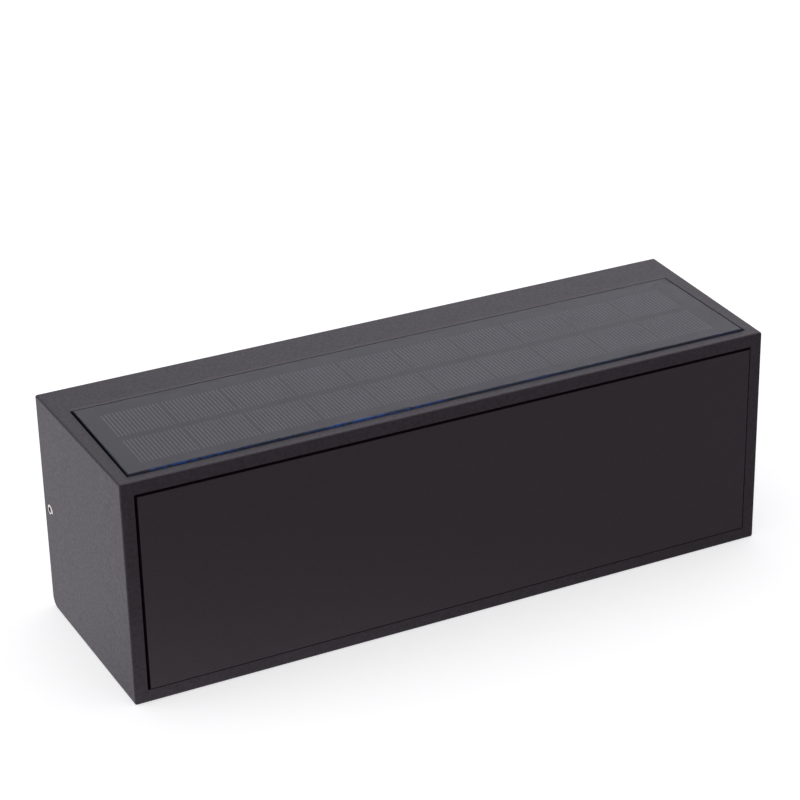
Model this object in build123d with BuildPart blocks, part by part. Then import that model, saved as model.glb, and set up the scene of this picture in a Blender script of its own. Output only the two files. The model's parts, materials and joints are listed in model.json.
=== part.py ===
from build123d import *
import os
from math import pi, radians, tan

# Solar wall light: a cast housing with a solar panel in its top, a flush front plate, a light window in its
# underside and a bracket that stays on the wall. Millimetres, +X along the light, +Y into the wall, +Z up.
# The origin is the middle of the bracket's back, on the wall, so a distance from the wall is minus Y.

# Housing. It is drafted: WIDTH is at the front, and each end leans out by DRAFT on its way to the back
WIDTH = 260.0
DRAFT = 1.95
DEPTH = 82.0
HEIGHT = 88.5
WALL = 3.0
HEEL_RADIUS = 4.5
EDGE_RADIUS = 0.8
REAR_CLEARANCE = 0.5

# Screws, bosses and seals that several pieces share
GASKET = 0.8
SCREW = 3.0
SMALL_SCREW = 2.5
SCREW_CLEARANCE = 0.2
THREAD_CLEARANCE = 0.05
HEAD_RATIO = 1.85
HEAD_HEIGHT_RATIO = 0.65
DRIVE_RATIO = 0.45
DRIVE_DEPTH_RATIO = 0.4
BOSS = 8.0
FIT_GAP = 0.5

# Front plate and the web that it seats on. The plate lies PLATE_SHIFT low and to the right in its rebate
RIM = 5.0
PLATE_GAP = 0.75
PLATE_SHIFT = 0.42
PLATE = 3.0
WEB = 3.0
LEDGE = 12.0
PLATE_BOSS = 6.6
PLATE_BOSS_CLEARANCE = 0.2
PLATE_SCREW_SPACING = 124.0
PLATE_SCREW_BITE = 1.0
WASHER = 9.0
WASHER_THICKNESS = 0.5

# Solar panel and its pocket
POCKET_BORDER = 4.6
POCKET_BACK = 19.9
POCKET_FLOOR = 2.2
PANEL_GAP = 0.75
PANEL_PROUD = 1.0
TAPE = 0.8
TAPE_WIDTH = 8.0
PANEL_BOARD = 2.2
ENCAPSULANT = 0.6
FILM = 0.3
CELL_WIDTH = 22.9
CELL_DEPTH = 21.8
CELL_THICKNESS = 0.25
CELL_GAP = 0.5
CELL_CLEARANCE = 0.05
CELLS_LEFT = 1.05
CELLS_FORWARD = 1.2
PANEL_MARGIN = 5.0

# Leads and the grommet that the panel's leads pass through
LEAD = 1.5
LEAD_SPACING = 2.5
LEAD_CLEARANCE = 0.1
BEND_SHARE = 0.45
SWITCH_LEAD_RISE = 16.0
GROMMET = 8.0
GROMMET_FLANGE = 11.0
GROMMET_TOP = 0.6
GROMMET_BOTTOM = 1.2

# Rear cover and the ledge that it seats on
COVER_OFFSET = 12.0
COVER = 2.5
LEDGE_RING = 3.0
BOSS_INSET = 3.5
BOSS_DEPTH = 8.0
COVER_SCREW_BITE = 6.0
STANDOFF = 7.0
STANDOFF_HEIGHT = 6.0
ELECTRONICS_Z = 4.0

# Power button, its switch and the small board above it
BUTTON = 10.0
BUTTON_CLEARANCE = 0.1
BUTTON_INSET = 7.5
BUTTON_RECESS = 0.4
BUTTON_FLANGE = 13.4
BUTTON_FLANGE_HEIGHT = 1.2
BUTTON_REST_GAP = 0.2
BUTTON_STEM = 5.0
BUTTON_STEM_HEIGHT = 5.5
SEAL_CLEARANCE = 0.3
PLUNGER = 3.4
PLUNGER_REACH = 2.2
PLUNGER_HOLD = 1.3
PLUNGER_BORE_DEPTH = 3.0
SWITCH = 6.2
SWITCH_HEIGHT = 3.6
SWITCH_BOARD_WIDTH = 9.0
SWITCH_BOSS = 6.0
CIRCUIT_BOARD = 1.6

# Light window: diffuser, reflector and the LEDs above it
WINDOW_DEPTH = 32.0
DIFFUSER_CLEARANCE = 0.3
DIFFUSER_RECESS = 0.6
DIFFUSER_LAP = 6.0
DIFFUSER_FLANGE = 2.0
REFLECTOR_HEIGHT = 14.0
REFLECTOR_WALL = 1.5
REFLECTOR_LAP = 1.5
LED_BOARD_DEPTH = 12.0
LED_BOARD_END = 2.0
LED_BOARD = 1.2
LED_PITCH = 12.0
LED_WIDTH = 3.5
LED_DEPTH = 2.8
LED_HEIGHT = 0.8
LED_PLATE = 2.0
LED_SCREW_SPACING = 34.0
LED_SCREW_BITE = 8.0
LED_LEAD_HOLE = 6.0

# Battery
CELL_18650 = 18.4
CELL_18650_LENGTH = 65.0
HOLDER_X = -62.0
HOLDER_CLEARANCE = 0.15
HOLDER_WALL = 1.8
HOLDER_BASE = 1.5
HOLDER_GRIP = 2.6
HOLDER_TAB = 9.0
HOLDER_TAB_WIDTH = 12.0
HOLDER_TAB_HEIGHT = 2.5
CONTACT = 0.5
CONTACT_SIZE = 11.0
CONTACT_REACH = 3.5
CONTACT_DIMPLE = 6.0

# Control board
BOARD_X = 50.0
BOARD_WIDTH = 78.0
BOARD_HEIGHT = 44.0
BOARD_SCREW_INSET = 4.5
CONNECTOR = 8.0
CONNECTOR_HEIGHT = 7.0
CONNECTOR_RISE = 11.0
CONNECTOR_SPREAD = 12.0
CHIP_WIDTH = 6.0
CHIP_HEIGHT = 5.0
CHIP_THICKNESS = 1.6
CHIP_PITCH = 12.0
INDUCTOR = 9.0
INDUCTOR_HEIGHT = 5.0

# Wall bracket and the grub screws that hold the light on it
BRACKET = 2.0
BRACKET_HEIGHT = 40.0
EAR_HEIGHT = 20.0
EAR_REACH = 11.0
EAR_CLEARANCE = 0.3
WALL_SLOT_SPACING = 120.0
WALL_SLOT_WIDTH = 5.0
WALL_SLOT_LENGTH = 14.0
GRUB = 3.95
GRUB_CLEARANCE = 0.075
GRUB_OFFSET = 7.0
GRUB_Z = -0.4
GRUB_PROUD = 0.3
GRUB_POINT = 2.5
GRUB_POINT_CLEARANCE = 0.3
GRUB_SOCKET = 2.0
GRUB_SOCKET_DEPTH = 2.0
GRUB_CHAMFER = 0.3

# Distances from the wall
ledge_rear = COVER_OFFSET + COVER + GASKET
ledge_front = ledge_rear + LEDGE_RING
plate_back = DEPTH - PLATE
web_front = plate_back - GASKET
web_rear = web_front - WEB
cover_front = COVER_OFFSET + COVER
seat = cover_front + STANDOFF_HEIGHT
window_offset = (ledge_front + web_rear) / 2

# Solar panel stack, in heights
pocket_depth = TAPE + PANEL_BOARD + ENCAPSULANT + FILM - PANEL_PROUD
pocket_z = HEIGHT / 2 - pocket_depth
panel_z = pocket_z + TAPE
laminate_z = panel_z + PANEL_BOARD
film_z = laminate_z + ENCAPSULANT
pocket_width = WIDTH - 2 * POCKET_BORDER
pocket_length = DEPTH - POCKET_BACK - POCKET_BORDER
pocket_offset = POCKET_BACK + pocket_length / 2
panel_width = pocket_width - 2 * PANEL_GAP
panel_length = pocket_length - 2 * PANEL_GAP
column_pitch = CELL_WIDTH + CELL_GAP
row_pitch = CELL_DEPTH + CELL_GAP
columns = int((panel_width - 2 * PANEL_MARGIN) / column_pitch)
rows = int((panel_length - 2 * PANEL_MARGIN) / row_pitch)

# Cavity of the housing
roof_z = pocket_z - POCKET_FLOOR
floor_z = WALL - HEIGHT / 2
cavity_width = WIDTH - 2 * WALL
cavity_height = roof_z - floor_z
cavity_z = (roof_z + floor_z) / 2
rebate_width = WIDTH - 2 * RIM
rebate_height = HEIGHT - 2 * RIM
plate_width = rebate_width - 2 * PLATE_GAP
plate_height = rebate_height - 2 * PLATE_GAP
opening_width = rebate_width - 2 * LEDGE
opening_height = rebate_height - 2 * LEDGE
plate_screw_rise = rebate_height - LEDGE

# Button end of the underside: button, switch board, LED plate boss and window follow one another
button_x = cavity_width / 2 - BUTTON_INSET
led_boss_x = button_x - SWITCH_BOARD_WIDTH / 2 - FIT_GAP - BOSS / 2
window_width = 2 * (led_boss_x - BOSS / 2 - FIT_GAP - DIFFUSER_LAP)
flange_width = window_width + 2 * DIFFUSER_LAP
flange_depth = WINDOW_DEPTH + 2 * DIFFUSER_LAP
switch_screw_reach = BUTTON_FLANGE / 2 + SWITCH_BOSS / 2 + SEAL_CLEARANCE

# Heights above the floor of the housing
diffuser_z = floor_z + GASKET
reflector_z = diffuser_z + DIFFUSER_FLANGE
led_plate_z = reflector_z + REFLECTOR_HEIGHT
led_board_width = window_width - 2 * LED_BOARD_END
button_flange_z = floor_z + GASKET + BUTTON_REST_GAP
stem_z = button_flange_z + BUTTON_FLANGE_HEIGHT
plunger_z = stem_z + BUTTON_STEM_HEIGHT
switch_z = plunger_z + PLUNGER_REACH
switch_board_z = switch_z + SWITCH_HEIGHT

# Places on the rear cover and the control board
cover_width = cavity_width - 2 * FIT_GAP
cover_height = cavity_height - 2 * FIT_GAP
cover_screw_x = cavity_width / 2 - BOSS_INSET
cover_screw_rise = cavity_height - 2 * BOSS_INSET
cover_screws_at = [(x, cavity_z + side * cover_screw_rise / 2)
                   for x in (-cover_screw_x, 0, cover_screw_x) for side in (-1, 1)]
holder_length = CELL_18650_LENGTH + 2 * (CONTACT_REACH + CONTACT + HOLDER_WALL)
cell_pitch = CELL_18650 + 2 * HOLDER_CLEARANCE + HOLDER_WALL / 2
holder_height = 2 * cell_pitch + HOLDER_WALL
cell_axis = seat + HOLDER_BASE + HOLDER_CLEARANCE + CELL_18650 / 2
holder_front = cell_axis + HOLDER_GRIP
tab_reach = holder_length / 2 + HOLDER_TAB / 2
holder_screws_at = [(HOLDER_X + side * tab_reach, ELECTRONICS_Z) for side in (-1, 1)]
board_front = seat + CIRCUIT_BOARD
board_screws_at = [(BOARD_X + i * (BOARD_WIDTH / 2 - BOARD_SCREW_INSET),
                    ELECTRONICS_Z + j * (BOARD_HEIGHT / 2 - BOARD_SCREW_INSET))
                   for i in (-1, 1) for j in (-1, 1)]
panel_plug = (BOARD_X - CONNECTOR_SPREAD, ELECTRONICS_Z + CONNECTOR_RISE)
led_plug = (BOARD_X + CONNECTOR_SPREAD, ELECTRONICS_Z - CONNECTOR_RISE)
battery_plug = (BOARD_X - (BOARD_WIDTH - CONNECTOR) / 2, ELECTRONICS_Z)
switch_plug = (BOARD_X + (BOARD_WIDTH - CONNECTOR) / 2, ELECTRONICS_Z)
plug_front = board_front + CONNECTOR_HEIGHT
plug_middle = board_front + CONNECTOR_HEIGHT / 2

# Ends of the leads
holder_end_x = HOLDER_X + holder_length / 2
battery_plug_x = battery_plug[0] - CONNECTOR / 2
switch_plug_x = switch_plug[0] + CONNECTOR / 2

# Bracket ears and grub screws: the end walls are thickest near the wall, so they carry the threads
ear_outer_x = cavity_width / 2 - EAR_CLEARANCE
ear_inner_x = ear_outer_x - BRACKET
grub_face_x = WIDTH / 2 + DRAFT * (DEPTH - GRUB_OFFSET) / (DEPTH - REAR_CLEARANCE)
grub_end_x = grub_face_x + GRUB_PROUD


def from_wall(distance):
    """Plane parallel to the wall that faces away from it: its x is X and its y is Z."""
    return Plane.XZ.offset(distance)


def to_wall(distance):
    """Plane parallel to the wall that faces the wall: its x is minus X and its y is Z."""
    return Plane(origin=(0, -distance, 0), x_dir=(-1, 0, 0), z_dir=(0, 1, 0))


def at_height(z):
    """Level plane: its x is X and its y is Y, so a distance from the wall is minus y."""
    return Plane.XY.offset(z)


def save(builder, name):
    """Name a finished piece and write it to its own file."""
    builder.part.label = name
    export_step(builder.part, f"parts/{name}.step")


def pan_screws(name, plane, places, size, length):
    """Pan-head screws with a hex drive. Their heads stand on the plane and their shanks go below it."""
    head_height = HEAD_HEIGHT_RATIO * size
    with BuildPart() as screws:
        with BuildSketch(plane):
            with Locations(*places):
                Circle(HEAD_RATIO * size / 2)
        extrude(amount=head_height)
        with BuildSketch(plane):
            with Locations(*places):
                Circle(size / 2)
        extrude(amount=-length)
        with BuildSketch(plane.offset(head_height)):
            with Locations(*places):
                RegularPolygon(DRIVE_RATIO * size, 6)
        extrude(amount=-DRIVE_DEPTH_RATIO * size, mode=Mode.SUBTRACT)
    save(screws, name)


def lead(name, points):
    """A wire through the given points, with each bend as large as its two runs allow."""
    corners = [Vector(*point) for point in points]
    runs = [after - before for before, after in zip(corners, corners[1:])]
    radii = [BEND_SHARE * min(run.length, following.length) / tan(radians(run.get_angle(following) / 2))
             for run, following in zip(runs, runs[1:])]
    with BuildPart() as wire:
        with BuildLine() as line:
            FilletPolyline(*corners, radius=radii)
        route = line.wire()
        with BuildSketch(Plane(origin=route @ 0, z_dir=route % 0)):
            Circle(LEAD / 2)
        sweep(path=route)
    expected = route.length * pi * LEAD ** 2 / 4
    print(name, "radii", [round(radius, 1) for radius in radii], "length", round(route.length, 1),
          "volume over section times length", round(wire.part.volume / expected, 4))
    save(wire, name)


os.makedirs("parts", exist_ok=True)

# Housing: one casting, open at the back, with a rebate for the front plate, a pocket for the solar panel, a
# light window and a button hole in its underside, and all the bosses that the other pieces screw to
with BuildPart() as housing:
    with BuildSketch(at_height(-HEIGHT / 2)):
        with BuildLine():
            Polyline((-WIDTH / 2, -DEPTH), (WIDTH / 2, -DEPTH), (WIDTH / 2 + DRAFT, -REAR_CLEARANCE),
                     (-WIDTH / 2 - DRAFT, -REAR_CLEARANCE), close=True)
        make_face()
    extrude(amount=HEIGHT)
    # The lower back edge is well rounded, and the other edges are only broken
    fillet(housing.edges().filter_by(Axis.X).group_by(Axis.Y)[-1].sort_by(Axis.Z)[0], HEEL_RADIUS)
    ends = housing.faces().sort_by(Axis.X)
    broken_edges = ends[0].edges() + ends[-1].edges()
    broken_edges += housing.faces().sort_by(Axis.Z)[-1].edges().filter_by(Axis.X)
    broken_edges += housing.faces().sort_by(Axis.Z)[0].edges().filter_by(Axis.X).sort_by(Axis.Y)[:1]
    fillet(broken_edges, EDGE_RADIUS)
    # The cavity from the back, the rebate from the front and the opening in the web between them
    with BuildSketch(from_wall(REAR_CLEARANCE)):
        with Locations((0, cavity_z)):
            Rectangle(cavity_width, cavity_height)
    extrude(amount=web_rear - REAR_CLEARANCE, mode=Mode.SUBTRACT)
    with BuildSketch(from_wall(web_front)):
        Rectangle(rebate_width, rebate_height)
    extrude(amount=DEPTH - web_front, mode=Mode.SUBTRACT)
    with BuildSketch(from_wall(web_rear)):
        Rectangle(opening_width, opening_height)
        with GridLocations(PLATE_SCREW_SPACING, plate_screw_rise, 2, 2):
            Circle(PLATE_BOSS / 2 + PLATE_BOSS_CLEARANCE)
    extrude(amount=WEB, mode=Mode.SUBTRACT)
    # The pocket in the top and the hole for the panel's grommet
    with BuildSketch(at_height(pocket_z)):
        with Locations((0, -pocket_offset)):
            Rectangle(pocket_width, pocket_length)
    extrude(amount=pocket_depth, mode=Mode.SUBTRACT)
    with BuildSketch(at_height(roof_z)):
        with Locations((panel_plug[0], -pocket_offset)):
            Circle(GROMMET / 2)
    extrude(amount=POCKET_FLOOR, mode=Mode.SUBTRACT)
    # The light window and the button hole in the floor
    with BuildSketch(at_height(-HEIGHT / 2)):
        with Locations((0, -window_offset)):
            Rectangle(window_width, WINDOW_DEPTH)
        with Locations((button_x, -window_offset)):
            Circle(BUTTON / 2 + BUTTON_CLEARANCE)
    extrude(amount=WALL, mode=Mode.SUBTRACT)
    # The ledge for the rear cover, with a boss at each of its screws
    with BuildSketch(from_wall(ledge_rear)):
        with Locations((0, cavity_z)):
            Rectangle(cavity_width, cavity_height)
            Rectangle(cavity_width - 2 * LEDGE_RING, cavity_height - 2 * LEDGE_RING, mode=Mode.SUBTRACT)
    extrude(amount=LEDGE_RING)
    with BuildSketch(from_wall(ledge_rear)):
        with Locations(*cover_screws_at):
            Circle(BOSS / 2)
    extrude(amount=BOSS_DEPTH)
    with BuildSketch(from_wall(ledge_rear)):
        with Locations(*cover_screws_at):
            Circle(SCREW / 2 + THREAD_CLEARANCE)
    extrude(amount=COVER_SCREW_BITE, mode=Mode.SUBTRACT)
    # Bosses on the floor, for the LED plate and for the switch board
    with BuildSketch(at_height(floor_z)):
        with Locations((0, -window_offset)):
            with GridLocations(2 * led_boss_x, LED_SCREW_SPACING, 2, 2):
                Circle(BOSS / 2)
    extrude(amount=led_plate_z - floor_z)
    with BuildSketch(at_height(led_plate_z)):
        with Locations((0, -window_offset)):
            with GridLocations(2 * led_boss_x, LED_SCREW_SPACING, 2, 2):
                Circle(SCREW / 2 + THREAD_CLEARANCE)
    extrude(amount=-LED_SCREW_BITE, mode=Mode.SUBTRACT)
    with BuildSketch(at_height(floor_z)):
        with Locations((button_x, -window_offset)):
            with GridLocations(1, 2 * switch_screw_reach, 1, 2):
                Circle(SWITCH_BOSS / 2)
    extrude(amount=switch_board_z - floor_z)
    with BuildSketch(at_height(switch_board_z)):
        with Locations((button_x, -window_offset)):
            with GridLocations(1, 2 * switch_screw_reach, 1, 2):
                Circle(SMALL_SCREW / 2 + THREAD_CLEARANCE)
    extrude(amount=-LED_SCREW_BITE, mode=Mode.SUBTRACT)
    # A hole in each end for its grub screw
    for side in (-1, 1):
        with BuildSketch(Plane.YZ.offset(side * cavity_width / 2)):
            with Locations((-GRUB_OFFSET, GRUB_Z)):
                Circle(GRUB / 2 + GRUB_CLEARANCE)
        extrude(amount=side * (WALL + DRAFT), mode=Mode.SUBTRACT)
save(housing, "housing")

# Front plate: flush in the rebate, held from inside by four bosses that pass through the web
plate_boss_height = GASKET + WEB - PLATE_BOSS_CLEARANCE
plate_at = (PLATE_SHIFT, -PLATE_SHIFT)
with BuildPart() as front_plate:
    with BuildSketch(from_wall(plate_back)):
        with Locations(plate_at):
            Rectangle(plate_width, plate_height)
    extrude(amount=PLATE)
    with BuildSketch(from_wall(plate_back)):
        with GridLocations(PLATE_SCREW_SPACING, plate_screw_rise, 2, 2):
            Circle(PLATE_BOSS / 2)
    extrude(amount=-plate_boss_height)
    with BuildSketch(from_wall(plate_back - plate_boss_height)):
        with GridLocations(PLATE_SCREW_SPACING, plate_screw_rise, 2, 2):
            Circle(SCREW / 2 + THREAD_CLEARANCE)
    extrude(amount=plate_boss_height + PLATE_SCREW_BITE, mode=Mode.SUBTRACT)
save(front_plate, "front_plate")

with BuildPart() as front_gasket:
    with BuildSketch(from_wall(web_front)):
        with Locations(plate_at):
            Rectangle(plate_width, plate_height)
        Rectangle(opening_width, opening_height, mode=Mode.SUBTRACT)
        with GridLocations(PLATE_SCREW_SPACING, plate_screw_rise, 2, 2):
            Circle(PLATE_BOSS / 2 + PLATE_BOSS_CLEARANCE, mode=Mode.SUBTRACT)
    extrude(amount=GASKET)
save(front_gasket, "front_gasket")

# Each of these screws has a washer under its head, wider than the hole that the boss passes through
plate_screws_at = [(i * PLATE_SCREW_SPACING / 2, j * plate_screw_rise / 2) for i in (-1, 1) for j in (-1, 1)]
plate_screw_length = WASHER_THICKNESS + PLATE_BOSS_CLEARANCE + plate_boss_height
with BuildPart() as front_plate_washers:
    with BuildSketch(to_wall(web_rear)):
        with Locations(*plate_screws_at):
            Circle(WASHER / 2)
            Circle(SCREW / 2 + THREAD_CLEARANCE, mode=Mode.SUBTRACT)
    extrude(amount=WASHER_THICKNESS)
save(front_plate_washers, "front_plate_washers")
plate_screw_seat = to_wall(web_rear - WASHER_THICKNESS)
pan_screws("front_plate_screws", plate_screw_seat, plate_screws_at, SCREW, plate_screw_length)

# Solar panel: a laminate of board, cells, encapsulant and matt film, on a frame of foam tape in the pocket
panel_at = (0, -pocket_offset)
cells_at = (-CELLS_LEFT, -pocket_offset - CELLS_FORWARD)
with BuildPart() as panel_tape:
    with BuildSketch(at_height(pocket_z)):
        with Locations(panel_at):
            Rectangle(panel_width, panel_length)
            Rectangle(panel_width - 2 * TAPE_WIDTH, panel_length - 2 * TAPE_WIDTH, mode=Mode.SUBTRACT)
    extrude(amount=TAPE)
save(panel_tape, "panel_tape")

with BuildPart() as solar_board:
    with BuildSketch(at_height(panel_z)):
        with Locations(panel_at):
            Rectangle(panel_width, panel_length)
    extrude(amount=PANEL_BOARD)
save(solar_board, "solar_board")

with BuildPart() as solar_cells:
    with BuildSketch(at_height(laminate_z)):
        with Locations(cells_at):
            with GridLocations(column_pitch, row_pitch, columns, rows):
                Rectangle(CELL_WIDTH, CELL_DEPTH)
    extrude(amount=CELL_THICKNESS)
save(solar_cells, "solar_cells")

with BuildPart() as solar_encapsulant:
    with BuildSketch(at_height(laminate_z)):
        with Locations(panel_at):
            Rectangle(panel_width, panel_length)
    extrude(amount=ENCAPSULANT)
    with BuildSketch(at_height(laminate_z)):
        with Locations(cells_at):
            with GridLocations(column_pitch, row_pitch, columns, rows):
                Rectangle(CELL_WIDTH + 2 * CELL_CLEARANCE, CELL_DEPTH + 2 * CELL_CLEARANCE)
    extrude(amount=CELL_THICKNESS, mode=Mode.SUBTRACT)
save(solar_encapsulant, "solar_encapsulant")

with BuildPart() as solar_film:
    with BuildSketch(at_height(film_z)):
        with Locations(panel_at):
            Rectangle(panel_width, panel_length)
    extrude(amount=FILM)
save(solar_film, "solar_film")

# Grommet in the pocket's floor, flanged on both sides, with a hole for each of the panel's leads
grommet_at = (panel_plug[0], -pocket_offset)
with BuildPart() as panel_grommet:
    with BuildSketch(at_height(pocket_z)):
        with Locations(grommet_at):
            Circle(GROMMET_FLANGE / 2)
    extrude(amount=GROMMET_TOP)
    with BuildSketch(at_height(roof_z)):
        with Locations(grommet_at):
            Circle(GROMMET / 2 - LEAD_CLEARANCE)
    extrude(amount=POCKET_FLOOR)
    with BuildSketch(at_height(roof_z)):
        with Locations(grommet_at):
            Circle(GROMMET_FLANGE / 2)
    extrude(amount=-GROMMET_BOTTOM)
    with BuildSketch(at_height(roof_z - GROMMET_BOTTOM)):
        with Locations(grommet_at):
            with GridLocations(LEAD_SPACING, 1, 2, 1):
                Circle(LEAD / 2 + LEAD_CLEARANCE)
    extrude(amount=GROMMET_BOTTOM + POCKET_FLOOR + GROMMET_TOP, mode=Mode.SUBTRACT)
save(panel_grommet, "panel_grommet")

# Light window: the diffuser's plug fills the window, its flange is clamped on a gasket by the reflector
window_at = (0, -window_offset)
with BuildPart() as diffuser_gasket:
    with BuildSketch(at_height(floor_z)):
        with Locations(window_at):
            Rectangle(flange_width, flange_depth)
            Rectangle(window_width, WINDOW_DEPTH, mode=Mode.SUBTRACT)
    extrude(amount=GASKET)
save(diffuser_gasket, "diffuser_gasket")

with BuildPart() as diffuser:
    with BuildSketch(at_height(diffuser_z)):
        with Locations(window_at):
            Rectangle(flange_width, flange_depth)
    extrude(amount=DIFFUSER_FLANGE)
    with BuildSketch(at_height(diffuser_z)):
        with Locations(window_at):
            Rectangle(window_width - 2 * DIFFUSER_CLEARANCE, WINDOW_DEPTH - 2 * DIFFUSER_CLEARANCE)
    extrude(amount=-(GASKET + WALL - DIFFUSER_RECESS))
save(diffuser, "diffuser")

# Reflector: a trough that narrows from the diffuser up to the LED board
throat_width = led_board_width + 2 * FIT_GAP
throat_depth = LED_BOARD_DEPTH + 2 * FIT_GAP
mouth_width = window_width + 2 * REFLECTOR_LAP
mouth_depth = WINDOW_DEPTH + 2 * REFLECTOR_LAP
with BuildPart() as reflector:
    with BuildSketch(at_height(reflector_z)):
        with Locations(window_at):
            Rectangle(mouth_width + 2 * REFLECTOR_WALL, mouth_depth + 2 * REFLECTOR_WALL)
    with BuildSketch(at_height(led_plate_z)):
        with Locations(window_at):
            Rectangle(throat_width + 2 * REFLECTOR_WALL, throat_depth + 2 * REFLECTOR_WALL)
    loft(ruled=True)
    with BuildSketch(at_height(reflector_z)):
        with Locations(window_at):
            Rectangle(mouth_width, mouth_depth)
    with BuildSketch(at_height(led_plate_z)):
        with Locations(window_at):
            Rectangle(throat_width, throat_depth)
    loft(ruled=True, mode=Mode.SUBTRACT)
save(reflector, "reflector")

with BuildPart() as led_board:
    with BuildSketch(at_height(led_plate_z)):
        with Locations(window_at):
            Rectangle(led_board_width, LED_BOARD_DEPTH)
    extrude(amount=-LED_BOARD)
save(led_board, "led_board")

led_count = int(led_board_width / LED_PITCH)
with BuildPart() as leds:
    with BuildSketch(at_height(led_plate_z - LED_BOARD)):
        with Locations(window_at):
            with GridLocations(LED_PITCH, 1, led_count, 1):
                Rectangle(LED_WIDTH, LED_DEPTH)
    extrude(amount=-LED_HEIGHT)
save(leds, "leds")

# LED plate: the aluminium sheet that cools the LED board and presses the light window's pieces down
led_screws_at = [(i * led_boss_x, -window_offset + j * LED_SCREW_SPACING / 2)
                 for i in (-1, 1) for j in (-1, 1)]
with BuildPart() as led_plate:
    with BuildSketch(at_height(led_plate_z)):
        with Locations(window_at):
            Rectangle(2 * led_boss_x + BOSS, LED_SCREW_SPACING + BOSS)
        with Locations(*led_screws_at):
            Circle(SCREW / 2 + SCREW_CLEARANCE, mode=Mode.SUBTRACT)
        with Locations((led_plug[0], -window_offset)):
            Circle(LED_LEAD_HOLE / 2, mode=Mode.SUBTRACT)
    extrude(amount=LED_PLATE)
save(led_plate, "led_plate")
led_screw_length = LED_PLATE + LED_SCREW_BITE
pan_screws("led_plate_screws", at_height(led_plate_z + LED_PLATE), led_screws_at, SCREW, led_screw_length)

# Rear cover: closes the back on its gasket and carries the battery and the control board on standoffs
standoffs_at = holder_screws_at + board_screws_at
with BuildPart() as rear_cover:
    with BuildSketch(from_wall(COVER_OFFSET)):
        with Locations((0, cavity_z)):
            Rectangle(cover_width, cover_height)
        with Locations(*cover_screws_at):
            Circle(SCREW / 2 + SCREW_CLEARANCE, mode=Mode.SUBTRACT)
    extrude(amount=COVER)
    with BuildSketch(from_wall(cover_front)):
        with Locations(*standoffs_at):
            Circle(STANDOFF / 2)
    extrude(amount=STANDOFF_HEIGHT)
    with BuildSketch(from_wall(cover_front)):
        with Locations(*standoffs_at):
            Circle(SCREW / 2 + THREAD_CLEARANCE)
    extrude(amount=STANDOFF_HEIGHT, mode=Mode.SUBTRACT)
save(rear_cover, "rear_cover")

with BuildPart() as rear_gasket:
    with BuildSketch(from_wall(cover_front)):
        with Locations((0, cavity_z)):
            Rectangle(cover_width, cover_height)
            Rectangle(cavity_width - 2 * LEDGE_RING, cavity_height - 2 * LEDGE_RING, mode=Mode.SUBTRACT)
        with Locations(*cover_screws_at):
            Circle(BOSS / 2)
        with Locations((0, cavity_z)):
            Rectangle(cover_width, cover_height, mode=Mode.INTERSECT)
        with Locations(*cover_screws_at):
            Circle(SCREW / 2 + SCREW_CLEARANCE, mode=Mode.SUBTRACT)
    extrude(amount=GASKET)
save(rear_gasket, "rear_gasket")
cover_screw_length = COVER + GASKET + COVER_SCREW_BITE
pan_screws("rear_cover_screws", to_wall(COVER_OFFSET), cover_screws_at, SCREW, cover_screw_length)

# Battery: two cells side by side in a snap-in holder, with a dimpled contact at each end of each cell
cells_at = {"upper": ELECTRONICS_Z + cell_pitch / 2, "lower": ELECTRONICS_Z - cell_pitch / 2}
cell_channel = CELL_18650_LENGTH + 2 * (CONTACT_REACH + CONTACT)
with BuildPart() as battery_holder:
    with BuildSketch(from_wall(seat)):
        with Locations((HOLDER_X, ELECTRONICS_Z)):
            Rectangle(holder_length, holder_height)
    extrude(amount=holder_front - seat)
    with BuildSketch(from_wall(seat)):
        with Locations((HOLDER_X, ELECTRONICS_Z)):
            Rectangle(holder_length + 2 * HOLDER_TAB, HOLDER_TAB_WIDTH)
    extrude(amount=HOLDER_TAB_HEIGHT)
    with BuildSketch(Plane.YZ.offset(HOLDER_X - cell_channel / 2)):
        with Locations(*[(-cell_axis, z) for z in cells_at.values()]):
            Circle(CELL_18650 / 2 + HOLDER_CLEARANCE)
    extrude(amount=cell_channel, mode=Mode.SUBTRACT)
    with BuildSketch(from_wall(seat)):
        with Locations(*holder_screws_at):
            Circle(SCREW / 2 + SCREW_CLEARANCE)
    extrude(amount=HOLDER_TAB_HEIGHT, mode=Mode.SUBTRACT)
save(battery_holder, "battery_holder")
holder_screw_length = HOLDER_TAB_HEIGHT + STANDOFF_HEIGHT
pan_screws("holder_screws", from_wall(seat + HOLDER_TAB_HEIGHT), holder_screws_at, SCREW, holder_screw_length)

for place, z in cells_at.items():
    with BuildPart() as battery_cell:
        with BuildSketch(Plane.YZ.offset(HOLDER_X - CELL_18650_LENGTH / 2)):
            with Locations((-cell_axis, z)):
                Circle(CELL_18650 / 2)
        extrude(amount=CELL_18650_LENGTH)
    save(battery_cell, f"battery_cell_{place}")

with BuildPart() as battery_contacts:
    for side in (-1, 1):
        cell_end = Plane.YZ.offset(HOLDER_X + side * CELL_18650_LENGTH / 2)
        with BuildSketch(cell_end.offset(side * CONTACT_REACH)):
            with Locations(*[(-cell_axis, z) for z in cells_at.values()]):
                Rectangle(CONTACT_SIZE, CONTACT_SIZE)
        extrude(amount=side * CONTACT)
        with BuildSketch(cell_end):
            with Locations(*[(-cell_axis, z) for z in cells_at.values()]):
                Circle(CONTACT_DIMPLE / 2)
        extrude(amount=side * CONTACT_REACH)
save(battery_contacts, "battery_contacts")

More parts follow.
